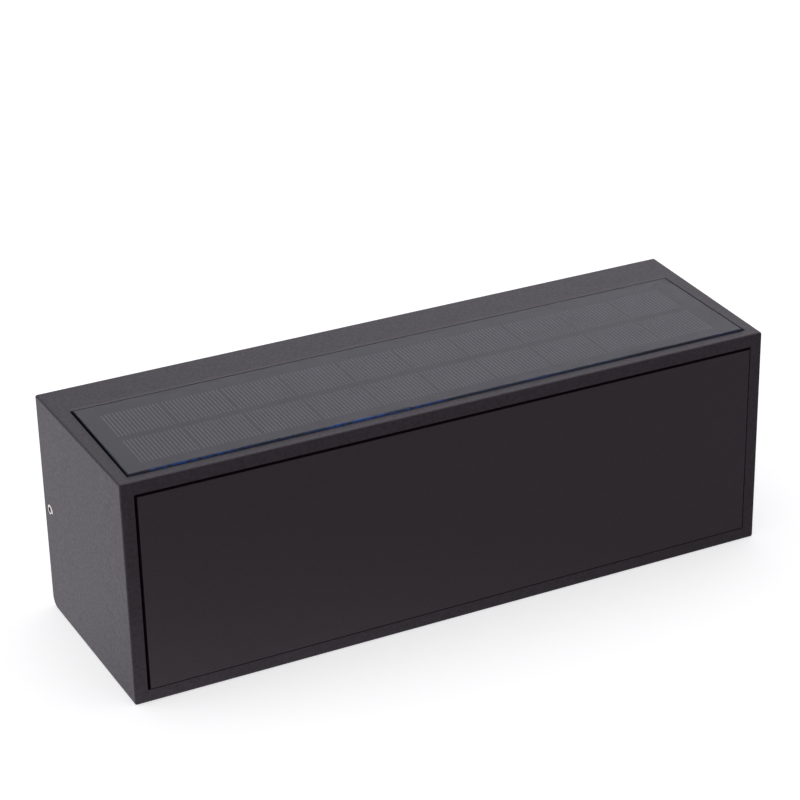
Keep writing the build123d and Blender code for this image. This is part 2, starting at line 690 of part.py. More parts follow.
# Control board on its four standoffs, with a connector for each pair of leads
with BuildPart() as control_board:
    with BuildSketch(from_wall(seat)):
        with Locations((BOARD_X, ELECTRONICS_Z)):
            Rectangle(BOARD_WIDTH, BOARD_HEIGHT)
        with Locations(*board_screws_at):
            Circle(SCREW / 2 + SCREW_CLEARANCE, mode=Mode.SUBTRACT)
    extrude(amount=CIRCUIT_BOARD)
save(control_board, "control_board")
board_screw_length = CIRCUIT_BOARD + STANDOFF_HEIGHT
pan_screws("board_screws", from_wall(board_front), board_screws_at, SCREW, board_screw_length)

with BuildPart() as board_connectors:
    with BuildSketch(from_wall(board_front)):
        with Locations(panel_plug, led_plug, battery_plug, switch_plug):
            Rectangle(CONNECTOR, CONNECTOR)
    extrude(amount=CONNECTOR_HEIGHT)
save(board_connectors, "board_connectors")

with BuildPart() as board_components:
    with BuildSketch(from_wall(board_front)):
        with Locations((BOARD_X, ELECTRONICS_Z)):
            with GridLocations(CHIP_PITCH, 1, 3, 1):
                Rectangle(CHIP_WIDTH, CHIP_HEIGHT)
    extrude(amount=CHIP_THICKNESS)
    with BuildSketch(from_wall(board_front)):
        with Locations((panel_plug[0], led_plug[1]), (led_plug[0], panel_plug[1])):
            Circle(INDUCTOR / 2)
    extrude(amount=INDUCTOR_HEIGHT)
save(board_components, "board_components")

# Power button: its flange rests above the seal and its stem pushes the switch's plunger up into the switch
button_at = (button_x, -window_offset)
with BuildPart() as button_seal:
    with BuildSketch(at_height(floor_z)):
        with Locations(button_at):
            Circle(BUTTON_FLANGE / 2)
            Circle(BUTTON / 2 + SEAL_CLEARANCE, mode=Mode.SUBTRACT)
    extrude(amount=GASKET)
save(button_seal, "button_seal")

with BuildPart() as power_button:
    with BuildSketch(at_height(BUTTON_RECESS - HEIGHT / 2)):
        with Locations(button_at):
            Circle(BUTTON / 2)
    extrude(amount=button_flange_z - (BUTTON_RECESS - HEIGHT / 2))
    with BuildSketch(at_height(button_flange_z)):
        with Locations(button_at):
            Circle(BUTTON_FLANGE / 2)
    extrude(amount=BUTTON_FLANGE_HEIGHT)
    with BuildSketch(at_height(stem_z)):
        with Locations(button_at):
            Circle(BUTTON_STEM / 2)
    extrude(amount=BUTTON_STEM_HEIGHT)
save(power_button, "power_button")

with BuildPart() as switch_plunger:
    with BuildSketch(at_height(plunger_z)):
        with Locations(button_at):
            Circle(PLUNGER / 2)
    extrude(amount=PLUNGER_REACH + PLUNGER_HOLD)
save(switch_plunger, "switch_plunger")

with BuildPart() as power_switch:
    with BuildSketch(at_height(switch_z)):
        with Locations(button_at):
            Rectangle(SWITCH, SWITCH)
    extrude(amount=SWITCH_HEIGHT)
    with BuildSketch(at_height(switch_z)):
        with Locations(button_at):
            Circle(PLUNGER / 2 + THREAD_CLEARANCE)
    extrude(amount=PLUNGER_BORE_DEPTH, mode=Mode.SUBTRACT)
save(power_switch, "power_switch")

switch_screws_at = [(button_x, -window_offset + side * switch_screw_reach) for side in (-1, 1)]
with BuildPart() as switch_board:
    with BuildSketch(at_height(switch_board_z)):
        with Locations(button_at):
            Rectangle(SWITCH_BOARD_WIDTH, 2 * switch_screw_reach + SWITCH_BOSS)
        with Locations(*switch_screws_at):
            Circle(SMALL_SCREW / 2 + SCREW_CLEARANCE, mode=Mode.SUBTRACT)
    extrude(amount=CIRCUIT_BOARD)
save(switch_board, "switch_board")
switch_board_top = switch_board_z + CIRCUIT_BOARD
switch_screw_length = CIRCUIT_BOARD + LED_SCREW_BITE
switch_screw_seat = at_height(switch_board_top)
pan_screws("switch_board_screws", switch_screw_seat, switch_screws_at, SMALL_SCREW, switch_screw_length)

# Leads from the control board: down from the panel, up from the LED board, from the battery and to the switch
for colour, side in (("red", -1), ("black", 1)):
    offset = side * LEAD_SPACING / 2
    panel_lead_x = panel_plug[0] + offset
    lead(f"panel_lead_{colour}", [
        (panel_lead_x, -pocket_offset, panel_z),
        (panel_lead_x, -pocket_offset, panel_plug[1]),
        (panel_lead_x, -plug_front, panel_plug[1]),
    ])
    led_lead_x = led_plug[0] + offset
    lead(f"led_lead_{colour}", [
        (led_lead_x, -window_offset, led_plate_z),
        (led_lead_x, -window_offset, led_plug[1]),
        (led_lead_x, -plug_front, led_plug[1]),
    ])
    cell_z = ELECTRONICS_Z + side * cell_pitch / 2
    battery_run = (battery_plug_x - holder_end_x) / 4
    lead(f"battery_lead_{colour}", [
        (holder_end_x, -cell_axis, cell_z),
        (holder_end_x + battery_run, -cell_axis, cell_z),
        (battery_plug_x - battery_run, -plug_middle, battery_plug[1] + offset),
        (battery_plug_x, -plug_middle, battery_plug[1] + offset),
    ])
    switch_lead_y = -window_offset + offset
    switch_run = (button_x - switch_plug_x) / 3
    lead(f"switch_lead_{colour}", [
        (switch_plug_x, -plug_middle, switch_plug[1] - offset),
        (switch_plug_x + switch_run, -plug_middle, switch_plug[1] - offset),
        (button_x, switch_lead_y, switch_board_top + SWITCH_LEAD_RISE),
        (button_x, switch_lead_y, switch_board_top),
    ])

# Wall bracket: bent steel with two slots for wall screws, and a slotted ear at each end, open to the front
with BuildPart() as wall_bracket:
    with BuildSketch(from_wall(0)):
        Rectangle(2 * ear_outer_x, BRACKET_HEIGHT)
        with GridLocations(WALL_SLOT_SPACING, 1, 2, 1):
            SlotOverall(WALL_SLOT_LENGTH, WALL_SLOT_WIDTH, mode=Mode.SUBTRACT)
    extrude(amount=BRACKET)
    for side in (-1, 1):
        with BuildSketch(Plane.YZ.offset(side * ear_inner_x)):
            with Locations((-EAR_REACH / 2, GRUB_Z)):
                Rectangle(EAR_REACH, EAR_HEIGHT)
            with Locations((-GRUB_OFFSET, GRUB_Z)):
                Circle(GRUB_POINT / 2 + GRUB_POINT_CLEARANCE, mode=Mode.SUBTRACT)
            with Locations((-(GRUB_OFFSET + EAR_REACH) / 2, GRUB_Z)):
                Rectangle(EAR_REACH - GRUB_OFFSET, GRUB_POINT + 2 * GRUB_POINT_CLEARANCE, mode=Mode.SUBTRACT)
        extrude(amount=side * BRACKET)
save(wall_bracket, "wall_bracket")

# Grub screws: each ends just proud of its end of the housing, and its point reaches through its ear's slot
for name, side in (("left_grub_screw", -1), ("right_grub_screw", 1)):
    with BuildPart() as grub_screw:
        with BuildSketch(Plane.YZ.offset(side * cavity_width / 2)):
            with Locations((-GRUB_OFFSET, GRUB_Z)):
                Circle(GRUB / 2)
        extrude(amount=side * (grub_end_x - cavity_width / 2))
        outer_face = grub_screw.faces().filter_by(Axis.X).sort_by(Axis.X)[0 if side < 0 else -1]
        chamfer(outer_face.edges(), GRUB_CHAMFER)
        with BuildSketch(Plane.YZ.offset(side * grub_end_x)):
            with Locations((-GRUB_OFFSET, GRUB_Z)):
                RegularPolygon(GRUB_SOCKET / 2, 6, major_radius=False)
        extrude(amount=-side * GRUB_SOCKET_DEPTH, mode=Mode.SUBTRACT)
        with BuildSketch(Plane.YZ.offset(side * cavity_width / 2)):
            with Locations((-GRUB_OFFSET, GRUB_Z)):
                Circle(GRUB_POINT / 2)
        extrude(amount=-side * (EAR_CLEARANCE + BRACKET + FIT_GAP))
    save(grub_screw, name)
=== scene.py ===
# %% [markdown]
# # A solar wall light, dressed for a studio picture
# The light is an oblong cast box with a solar panel let into its top, a flush plate on its front, a
# light window in its underside and a bracket behind it. All its solid shapes come packed, in metres,
# with the wall face at the origin: +X runs along the wall, +Y goes into it and +Z is up.
# This lesson adds what the solids lack: finishes, fine metal lines, threads, a studio and a camera.

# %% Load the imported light
import json
import math
import random

import bmesh
import bpy
from mathutils import Matrix, Vector


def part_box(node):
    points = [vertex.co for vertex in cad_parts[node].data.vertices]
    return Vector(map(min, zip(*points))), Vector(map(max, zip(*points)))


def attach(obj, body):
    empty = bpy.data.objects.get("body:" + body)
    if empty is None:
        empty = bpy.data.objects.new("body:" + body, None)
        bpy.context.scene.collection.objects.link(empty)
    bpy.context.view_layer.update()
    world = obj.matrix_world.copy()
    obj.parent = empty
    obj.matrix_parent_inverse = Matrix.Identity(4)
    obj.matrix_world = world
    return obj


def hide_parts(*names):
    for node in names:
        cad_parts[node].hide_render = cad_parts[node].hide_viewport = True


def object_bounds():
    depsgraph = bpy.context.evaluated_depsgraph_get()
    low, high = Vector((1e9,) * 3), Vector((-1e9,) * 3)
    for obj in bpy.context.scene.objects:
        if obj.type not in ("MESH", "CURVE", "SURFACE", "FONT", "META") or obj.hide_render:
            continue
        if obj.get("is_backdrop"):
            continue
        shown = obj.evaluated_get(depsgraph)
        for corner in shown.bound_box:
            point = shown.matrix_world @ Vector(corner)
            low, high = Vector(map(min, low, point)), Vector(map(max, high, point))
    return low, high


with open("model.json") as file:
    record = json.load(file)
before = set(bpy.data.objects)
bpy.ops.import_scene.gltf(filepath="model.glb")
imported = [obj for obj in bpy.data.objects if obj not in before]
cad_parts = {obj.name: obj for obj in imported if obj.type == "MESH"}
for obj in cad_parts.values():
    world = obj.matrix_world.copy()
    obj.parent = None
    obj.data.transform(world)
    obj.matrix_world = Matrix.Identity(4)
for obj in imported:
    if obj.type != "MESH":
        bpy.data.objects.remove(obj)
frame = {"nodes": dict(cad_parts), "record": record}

cad_low, cad_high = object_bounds()
MM = 0.001
print("box of the solids, mm:", [round(v / MM, 2) for v in (*cad_low, *cad_high)])

# %% [markdown]
# ## The camera
# The picture was taken from the front left and from above, with a long lens, so the box's edges hardly
# draw together. A camera can be guessed by eye, but here its place was fitted to the box's corners.
# Its turn is built from three directions, back, right and up, with a small roll about the line of sight.

# %% Put the camera at the fitted place
AZIMUTH, ELEVATION, ROLL = (math.radians(a) for a in (-25.859, 26.124, -1.207))
TARGET = Vector((-3.16, -40.5, 29.04)) * MM
DISTANCE = 0.9624
LENS_MM = 115.59
NEAREST, FARTHEST = 0.05, 20.0

back = Vector((math.sin(AZIMUTH) * math.cos(ELEVATION),
               -math.cos(AZIMUTH) * math.cos(ELEVATION),
               math.sin(ELEVATION)))
level = (-back).cross(Vector((0, 0, 1))).normalized()
upright = level.cross(-back)
right = math.cos(ROLL) * level + math.sin(ROLL) * upright
up = math.cos(ROLL) * upright - math.sin(ROLL) * level

camera = bpy.data.objects.new("camera", bpy.data.cameras.new("camera"))
camera.data.lens = LENS_MM
camera.data.clip_start, camera.data.clip_end = NEAREST, FARTHEST
turned = Matrix((right, up, back)).transposed().to_4x4()
camera.matrix_world = Matrix.Translation(TARGET + back * DISTANCE) @ turned
bpy.context.collection.objects.link(camera)
bpy.context.scene.camera = camera
print("camera at, m:", [round(v, 3) for v in camera.location])

# %% [markdown]
# ## One way to add a node
# A finish is a small graph of nodes. Each node needs a kind, some settings and some links, so one
# function adds it with all three. Colours are written as they look on a screen, in hex, and a second
# function turns them into the linear light that the shaders work with.

# %% Helpers for finishes
def linear(code):
    """A screen colour such as "1d1b1d", as linear red, green, blue and full alpha."""
    levels = [int(code[i:i + 2], 16) / 255 for i in (0, 2, 4)]
    return [v / 12.92 if v <= 0.04045 else ((v + 0.055) / 1.055) ** 2.4 for v in levels] + [1.0]


def add(tree, kind, settings, links=()):
    """A node with its settings, by name or by input, and its links, each from a node or an output."""
    made = tree.nodes.new("ShaderNode" + kind)
    for name, value in settings.items():
        if isinstance(name, int) or name in made.inputs:
            made.inputs[name].default_value = value
        else:
            setattr(made, name, value)
    for name, source in dict(links).items():
        start = source.outputs[0] if isinstance(source, bpy.types.Node) else source
        tree.links.new(start, made.inputs[name])
    return made


def begin(name):
    """A material named for what it is, with an empty graph and the place on the object in metres."""
    material = bpy.data.materials.new(name)
    material.use_nodes = True
    tree = material.node_tree
    tree.nodes.clear()
    return material, tree, add(tree, "TexCoord", {}).outputs["Object"]


def dress(slot, material):
    """Gives a material to every solid that the record lists under a slot."""
    named = [row["node"] for row in frame["record"]["subparts"] if row["material_slot"] == slot]
    for name in named:
        for place in frame["nodes"][name].material_slots:
            place.material = material
    print(f"{material.name}: {', '.join(named)}")


COLOUR_A, COLOUR_B, COLOUR_OUT = 6, 7, 2  # a Mix node's colour sockets

# %% [markdown]
# ## Powder-coated cast aluminium
# The box is cast, then sprayed with dry powder that melts into a thin, fine-grained skin. The eye sees
# nearly black paint whose grain breaks reflections up, so it looks grey where it is seen at a slant and
# dark where it is seen face on. A dielectric with an index of 1.5 gives exactly that, so the base colour
# stays dark, with a trace of purple. The grains are about 0.3 mm across, finer than a dot of the picture,
# so they are drawn coarser here. On the level top the melted powder flows out flatter than on the sides.
# Here and there a bubble has left a small pit in the coat: cells of a few millimetres place the pits, and
# each cell's own random colour decides whether it has one. A pit gets no bump, only painted shade: it
# looks into its own walls, so its spot shines less than the skin round it.

# %% The coat of the housing and of the front plate
PIT_SPACING_MM, PIT_RADIUS_MM, PIT_SHARE = 3.4, 0.6, 0.35
PIT_FLOOR = 0.6  # how much of a pit's radius is its flat floor
FULL_SHINE = 0.5  # the shader's own level, at which the index of refraction holds
TOP_RELIEF = 0.2  # how much of the grain's relief is left on the level top


def powder_coat(name, base, fleck, grain_mm, relief_mm, roughness, spread, pit_painted_shade):
    """A baked powder coat: one grain for its flecks, its gloss and its bump, and pits of painted shade."""
    material, tree, place = begin(name)
    grain = add(tree, "TexNoise", {"Scale": 1 / (grain_mm * MM), "Detail": 1.0, "Roughness": 0.6},
                {"Vector": place})
    flecked = add(tree, "MapRange", {"From Min": 0.35, "From Max": 0.65}, {"Value": grain})
    colour = add(tree, "Mix", {"data_type": "RGBA", COLOUR_A: linear(base), COLOUR_B: linear(fleck)},
                 {0: flecked})
    gloss = add(tree, "MapRange", {"To Min": roughness + spread, "To Max": roughness - spread},
                {"Value": flecked})
    spots = add(tree, "TexVoronoi", {"feature": "F1", "Scale": 1 / (PIT_SPACING_MM * MM)},
                {"Vector": place})
    chosen = add(tree, "Math", {"operation": "GREATER_THAN", 1: 1 - PIT_SHARE},
                 {0: spots.outputs["Color"]})
    rim = PIT_RADIUS_MM / PIT_SPACING_MM
    hollow = add(tree, "MapRange",
                 {"From Min": PIT_FLOOR * rim, "From Max": rim, "To Min": 1.0, "To Max": 0.0},
                 {"Value": spots})
    pits = add(tree, "Math", {"operation": "MULTIPLY"}, {0: hollow, 1: chosen})
    # painted shade: inside a chosen pit the shader's level drops, so the spot shines less
    shine = add(tree, "MapRange", {"To Min": FULL_SHINE, "To Max": FULL_SHINE - pit_painted_shade},
                {"Value": pits})
    normal = add(tree, "NewGeometry", {}).outputs["Normal"]
    upward = add(tree, "SeparateXYZ", {}, {0: normal}).outputs["Z"]
    relief = add(tree, "MapRange",
                 {"From Min": 0.3, "From Max": 0.9, "To Min": 1.0, "To Max": TOP_RELIEF},
                 {"Value": upward})
    skin = add(tree, "Bump", {"Distance": relief_mm * MM}, {"Height": grain, "Strength": relief})
    paint = add(tree, "BsdfPrincipled", {"IOR": 1.5},
                {"Base Color": colour.outputs[COLOUR_OUT], "Roughness": gloss, "Normal": skin,
                 "Specular IOR Level": shine})
    add(tree, "OutputMaterial", {}, {"Surface": paint})
    return material


coat = powder_coat("powder_coated_cast_aluminium", "271e24", "302730", grain_mm=1.1, relief_mm=0.065,
                   roughness=0.47, spread=0.03, pit_painted_shade=0.18)
dress("housing_coat", coat)
plate_coat = powder_coat("satin_powder_coated_aluminium_plate", "2b2227", "2f262b", grain_mm=0.6,
                         relief_mm=0.010, roughness=0.40, spread=0.02, pit_painted_shade=0.0)
dress("plate_coat", plate_coat)

# %% [markdown]
# ## Moulded, drawn and rolled pieces
# Most of the small pieces differ in colour, in the size of their grain, and in whether that grain is
# drawn out along one way, as on wire, rolled sheet or a turned screw. One function makes them all: noise
# of a real size, stretched along an axis, moves the colour, the roughness and a shallow bump.

# %% Finishes of the plainer pieces
def plain_finish(name, dark, light, grain_mm, relief_mm, roughness, spread, stretch=(1, 1, 1),
                 metallic=0.0, **more):
    """A grain of one size, drawn out by stretch, that moves colour, roughness and bump together."""
    material, tree, place = begin(name)
    drawn = add(tree, "Mapping", {"Scale": [1 / s for s in stretch]}, {"Vector": place})
    grain = add(tree, "TexNoise", {"Scale": 1 / (grain_mm * MM), "Detail": 3.0, "Roughness": 0.55},
                {"Vector": drawn})
    even = add(tree, "MapRange", {"From Min": 0.3, "From Max": 0.7}, {"Value": grain})
    colour = add(tree, "Mix", {"data_type": "RGBA", COLOUR_A: linear(dark), COLOUR_B: linear(light)},
                 {0: even})
    gloss = add(tree, "MapRange", {"To Min": roughness - spread, "To Max": roughness + spread},
                {"Value": even})
    skin = add(tree, "Bump", {"Strength": 1.0, "Distance": relief_mm * MM}, {"Height": grain})
    shader = add(tree, "BsdfPrincipled", {"Metallic": metallic, **more},
                 {"Base Color": colour.outputs[COLOUR_OUT], "Roughness": gloss, "Normal": skin})
    add(tree, "OutputMaterial", {}, {"Surface": shader})
    return material


ALONG_X = (12, 1, 1)
# each finish: dark and light colour, grain and relief in mm, roughness and how far it varies
plain_pieces = {
    # silicone rubber, compression moulded: dull black with a bloom
    "seal_rubber": plain_finish("moulded_silicone_rubber", "141414", "242425", 0.8, 0.010, 0.62, 0.08),
    # polycarbonate filled with white pigment, moulded in a polished tool
    "white_reflector": plain_finish("moulded_white_polycarbonate", "eceeec", "f6f7f5", 3.0, 0.006, 0.16,
                                    0.05),
    # aluminium sheet as it leaves the rolls: fine lines one way
    "bare_aluminium": plain_finish("rolled_aluminium_sheet", "b4b6b8", "d2d3d5", 0.4, 0.004, 0.36, 0.08,
                                   ALONG_X, 1.0),
    # ABS moulded in a spark-eroded tool: an even pebble
    "cover_plastic": plain_finish("moulded_black_abs", "171718", "222224", 0.5, 0.015, 0.55, 0.08),
    # polypropylene: waxy, slightly lighter where it flowed thin
    "holder_plastic": plain_finish("moulded_black_polypropylene", "131314", "1f1f21", 1.2, 0.008, 0.42,
                                   0.07),
    # nickel on spring steel: warm, with drawing lines
    "nickel_contact": plain_finish("nickel_plated_spring_steel", "a8a294", "cdc6b6", 0.3, 0.003, 0.28, 0.08,
                                   ALONG_X, 1.0),
    # nylon: pale ivory, faintly cloudy
    "connector_plastic": plain_finish("moulded_nylon", "d9d3bd", "ebe6d4", 1.0, 0.006, 0.38, 0.06),
    # epoxy moulding compound: black with a sandy grain
    "component": plain_finish("moulded_epoxy_compound", "1b1b1c", "2b2b2d", 0.25, 0.008, 0.52, 0.08),
    # silicone keypad rubber: dark grey, soft sheen
    "button_plastic": plain_finish("moulded_silicone_keypad", "262628", "343436", 0.6, 0.008, 0.5, 0.07),
    # stainless steel, turned: rings round each screw's own axis are too fine to draw, so a haze stands in
    "stainless": plain_finish("turned_stainless_steel", "a9a7a3", "d6d4cf", 0.3, 0.003, 0.26, 0.08,
                              metallic=1.0),
    # PVC drawn over wire
    "red_wire": plain_finish("drawn_red_pvc", "8c1414", "b52020", 0.9, 0.005, 0.36, 0.06),
    "black_wire": plain_finish("drawn_black_pvc", "121213", "222224", 0.9, 0.005, 0.36, 0.06),
}
for slot, material in plain_pieces.items():
    dress(slot, material)

# %% [markdown]
# ## Zinc-plated steel
# The bracket is pressed from sheet and plated after it is cut. Bright zinc is bluish and slightly cloudy,
# with faint lines left by the rolling. Cells of a few millimetres make the cloud, and a stretched noise
# under them makes the lines.

# %% The bracket's plating
ROLLED_OUT = 14
ROLL_LINE_MM = 0.5
ZINC_CLOUD_MM, CLOUD_SHARE = 6.0, 0.5
zinc, tree, place = begin("zinc_plated_steel_sheet")
drawn = add(tree, "Mapping", {"Scale": (1 / ROLLED_OUT, 1, 1)}, {"Vector": place})
lines = add(tree, "TexNoise", {"Scale": 1 / (ROLL_LINE_MM * MM), "Detail": 3.0}, {"Vector": drawn})
cloud = add(tree, "TexVoronoi",
            {"feature": "SMOOTH_F1", "Scale": 1 / (ZINC_CLOUD_MM * MM), "Smoothness": 0.6},
            {"Vector": place})
shade = add(tree, "Math", {"operation": "MULTIPLY_ADD", 1: CLOUD_SHARE}, {0: cloud, 2: lines})
even = add(tree, "MapRange", {"From Min": 0.35, "From Max": 1.0}, {"Value": shade})
colour = add(tree, "Mix", {"data_type": "RGBA", COLOUR_A: linear("a9b0b6"), COLOUR_B: linear("c9cfd3")},
             {0: even})
gloss = add(tree, "MapRange", {"To Min": 0.28, "To Max": 0.42}, {"Value": even})
skin = add(tree, "Bump", {"Strength": 1.0, "Distance": 0.004 * MM}, {"Height": lines})
plating = add(tree, "BsdfPrincipled", {"Metallic": 1.0},
              {"Base Color": colour.outputs[COLOUR_OUT], "Roughness": gloss, "Normal": skin})
add(tree, "OutputMaterial", {}, {"Surface": plating})
dress("zinc_steel", zinc)

# %% [markdown]
# ## Circuit boards
# Boards are woven glass in resin under a coat of solder resist, so the weave shows faintly as a square
# grid of threads, half a millimetre apart. One wave texture draws the threads across X. Some boards lie
# and some stand, so the threads the other way come from a wave in Y or one in Z, whichever is higher.
# The boards differ in the colour of the resist: green, and white under the LEDs.

# %% The boards' resist over woven glass
WAVE = 2 * math.pi / 20  # how long one wave of the wave texture is at scale 1
THREAD_MM = 0.5
RESIST_CLOUD_MM = 4.0
WEAVE_SHARE, GLOSS_SPREAD = 0.35, 0.05


def resist_board(name, dark, light, roughness):
    """Solder resist over woven glass: threads both ways, under a thin gloss."""
    material, tree, place = begin(name)
    across = WAVE / (THREAD_MM * MM)
    warp, flat, tall = (add(tree, "TexWave", {"bands_direction": axis, "Scale": across, "Distortion": 0.4},
                            {"Vector": place}) for axis in "XYZ")
    weft = add(tree, "Math", {"operation": "MAXIMUM"}, {0: flat, 1: tall})
    weave = add(tree, "Math", {"operation": "MULTIPLY"}, {0: warp, 1: weft})
    cloud = add(tree, "TexNoise", {"Scale": 1 / (RESIST_CLOUD_MM * MM), "Detail": 2.0}, {"Vector": place})
    shade = add(tree, "Math", {"operation": "MULTIPLY_ADD", 1: WEAVE_SHARE}, {0: weave, 2: cloud})
    even = add(tree, "MapRange", {"From Min": 0.3, "From Max": 1.0}, {"Value": shade})
    colour = add(tree, "Mix", {"data_type": "RGBA", COLOUR_A: linear(dark), COLOUR_B: linear(light)},
                 {0: even})
    skin = add(tree, "Bump", {"Strength": 1.0, "Distance": 0.004 * MM}, {"Height": weave})
    gloss = add(tree, "MapRange", {"To Min": roughness - GLOSS_SPREAD, "To Max": roughness + GLOSS_SPREAD},
                {"Value": cloud})
    shader = add(tree, "BsdfPrincipled", {},
                 {"Base Color": colour.outputs[COLOUR_OUT], "Roughness": gloss, "Normal": skin})
    add(tree, "OutputMaterial", {}, {"Surface": shader})
    return material


dress("circuit_board", resist_board("green_resist_on_woven_glass", "0c4a26", "14663a", 0.3))
dress("white_board", resist_board("white_resist_on_woven_glass", "dfe3df", "eff2ee", 0.34))

# %% [markdown]
# ## Foam, sleeve, LEDs and the light window
# The rest of the inside is quick to tell apart by eye: closed-cell foam is dull and pitted, a battery
# sleeve is a shrunk film with a slow wrinkle, an LED is a drop of yellow silicone in a white frame, and
# the window is opal acrylic, which lets light in and scatters it below its surface.

# %% Finishes that are told apart by structure
FOAM_CELL_MM = 0.5
PHOSPHOR_GRAIN_MM = 0.4
MILK_MM, SATIN_MM = 9.0, 0.3

foam, tree, place = begin("closed_cell_foam_tape")
pits = add(tree, "TexVoronoi", {"feature": "F1", "Scale": 1 / (FOAM_CELL_MM * MM)}, {"Vector": place})
colour = add(tree, "Mix", {"data_type": "RGBA", COLOUR_A: linear("0e0e0f"), COLOUR_B: linear("232324")},
             {0: pits})
skin = add(tree, "Bump", {"Strength": 1.0, "Distance": 0.05 * MM}, {"Height": pits})
shader = add(tree, "BsdfPrincipled", {"Roughness": 0.85},
             {"Base Color": colour.outputs[COLOUR_OUT], "Normal": skin})
add(tree, "OutputMaterial", {}, {"Surface": shader})
dress("foam_tape", foam)

sleeve = plain_finish("shrunk_pvc_sleeve", "1c4479", "2a5c9a", 5.0, 0.03, 0.24, 0.05, (4, 1, 1))
dress("cell_sleeve", sleeve)

led, tree, place = begin("phosphor_silicone_led")
normal = add(tree, "NewGeometry", {}).outputs["Normal"]
facing = add(tree, "SeparateXYZ", {}, {0: normal}).outputs["Z"]
below = add(tree, "Math", {"operation": "LESS_THAN", 1: -0.5}, {0: facing})
haze = add(tree, "TexNoise", {"Scale": 1 / (PHOSPHOR_GRAIN_MM * MM), "Detail": 2.0}, {"Vector": place})
yolk = add(tree, "Mix", {"data_type": "RGBA", COLOUR_A: linear("e2b43c"), COLOUR_B: linear("f2cf62")},
           {0: haze})
colour = add(tree, "Mix", {"data_type": "RGBA", COLOUR_A: linear("e9e9e4")},
             {0: below, COLOUR_B: yolk.outputs[COLOUR_OUT]})
skin = add(tree, "Bump", {"Strength": 1.0, "Distance": 0.01 * MM}, {"Height": haze})
shader = add(tree, "BsdfPrincipled", {"Roughness": 0.3, "IOR": 1.41},
             {"Base Color": colour.outputs[COLOUR_OUT], "Normal": skin})
add(tree, "OutputMaterial", {}, {"Surface": shader})
dress("led", led)

opal, tree, place = begin("opal_cast_acrylic")
milk = add(tree, "TexNoise", {"Scale": 1 / (MILK_MM * MM), "Detail": 2.0}, {"Vector": place})
satin = add(tree, "TexNoise", {"Scale": 1 / (SATIN_MM * MM), "Detail": 1.0}, {"Vector": place})
colour = add(tree, "Mix", {"data_type": "RGBA", COLOUR_A: linear("e4e4df"), COLOUR_B: linear("f1f1ec")},
             {0: milk})
skin = add(tree, "Bump", {"Strength": 1.0, "Distance": 0.003 * MM}, {"Height": satin})
shader = add(tree, "BsdfPrincipled",
             {"Roughness": 0.32, "IOR": 1.49, "Subsurface Weight": 0.6, "Subsurface Radius": (1, 1, 1),
              "Subsurface Scale": 1.5 * MM},
             {"Base Color": colour.outputs[COLOUR_OUT], "Normal": skin})
add(tree, "OutputMaterial", {}, {"Surface": shader})
dress("opal_diffuser", opal)

# %% [markdown]
# ## Inside the solar panel
# The board is black all through. The cells on it are thin slices of one silicon crystal, etched and coated
# until they are nearly black too, and fired silver lines collect their current. Resin and a matt film are
# pressed on all three, and the stack shines as one. Its shine could be put on the film, but then each ray
# has to choose between shine and clear view, and the picture gets grainy. So it is drawn on the faces
# that the film lies on, and these share the film's index and roughness.

# %% Board, silicon and silver
PRESSED = {"roughness": 0.40, "spread": 0.03, "relief_mm": 0.001, "IOR": 1.5}
dress("panel_board", plain_finish("black_glass_epoxy_board", "101115", "14151a", 6.0, **PRESSED))
dress("solar_cell", plain_finish("etched_monocrystalline_silicon", "101116", "15161c", 11.0, **PRESSED))
filler = plain_finish("black_potting_resin", "101115", "14151a", 6.0, **PRESSED)
silver = plain_finish("fired_silver_paste", "8c8b90", "9c9ba0", 0.3, **PRESSED)

# %% [markdown]
# ## Resin and film over the cells
# Bent light through bonded layers adds nothing here, so resin and film are drawn as clear sheets that
# light passes straight through, and the matt film adds a faint grey haze on its outer faces. The resin's
# cut edge is blue along the front, in bright and dull stretches with finer streaks in them. The blue starts
# a little way from the left corner and fades to the right, and a short patch of it shows on the left edge.
# That front edge also carries a faint painted glow: emission that stands in for light the narrow gap keeps
# off it.

# %% Matt film
FILM_WAVE_MM = 25.0
film, tree, place = begin("matt_polyester_film")
waves = add(tree, "TexNoise", {"Scale": 1 / (FILM_WAVE_MM * MM), "Detail": 2.0}, {"Vector": place})
haze = add(tree, "MapRange", {"From Min": 0.3, "From Max": 0.7, "To Min": 0.072, "To Max": 0.080},
           {"Value": waves})
inside = add(tree, "NewGeometry", {}).outputs["Backfacing"]
outside = add(tree, "Math", {"operation": "SUBTRACT", 0: 1.0}, {1: inside})
share = add(tree, "Math", {"operation": "MULTIPLY"}, {0: haze, 1: outside})
clear = add(tree, "BsdfTransparent", {})
grey = add(tree, "BsdfDiffuse", {"Color": linear("bdb7c5")})
sheet = add(tree, "MixShader", {}, {0: share, 1: clear, 2: grey})
add(tree, "OutputMaterial", {}, {"Surface": sheet})
dress("matt_film", film)

# %% Tinted resin
STREAK_MM = 2.2
STRETCH_MM, BRIGHT_AT_MM = 80.0, -108.0
BLUE_FROM_MM, BLUE_FULL_MM = -119.0, -115.0
FADE_FROM_MM, FADE_TO_MM = -20.0, 50.0
FRONT_Y_MM = -76.2
PATCH_Y_MM, PATCH_FULL_MM, PATCH_END_MM = -54.0, 5.0, 14.0
resin, tree, place = begin("tinted_laminating_resin")
faces_of = add(tree, "NewGeometry", {})
facing = add(tree, "SeparateXYZ", {}, {0: faces_of.outputs["Normal"]}).outputs["Z"]
slant = add(tree, "Math", {"operation": "ABSOLUTE"}, {0: facing})
upright_face = add(tree, "Math", {"operation": "LESS_THAN", 1: 0.9}, {0: slant})
outside = add(tree, "Math", {"operation": "SUBTRACT", 0: 1.0}, {1: faces_of.outputs["Backfacing"]})
edge = add(tree, "Math", {"operation": "MULTIPLY"}, {0: upright_face, 1: outside})
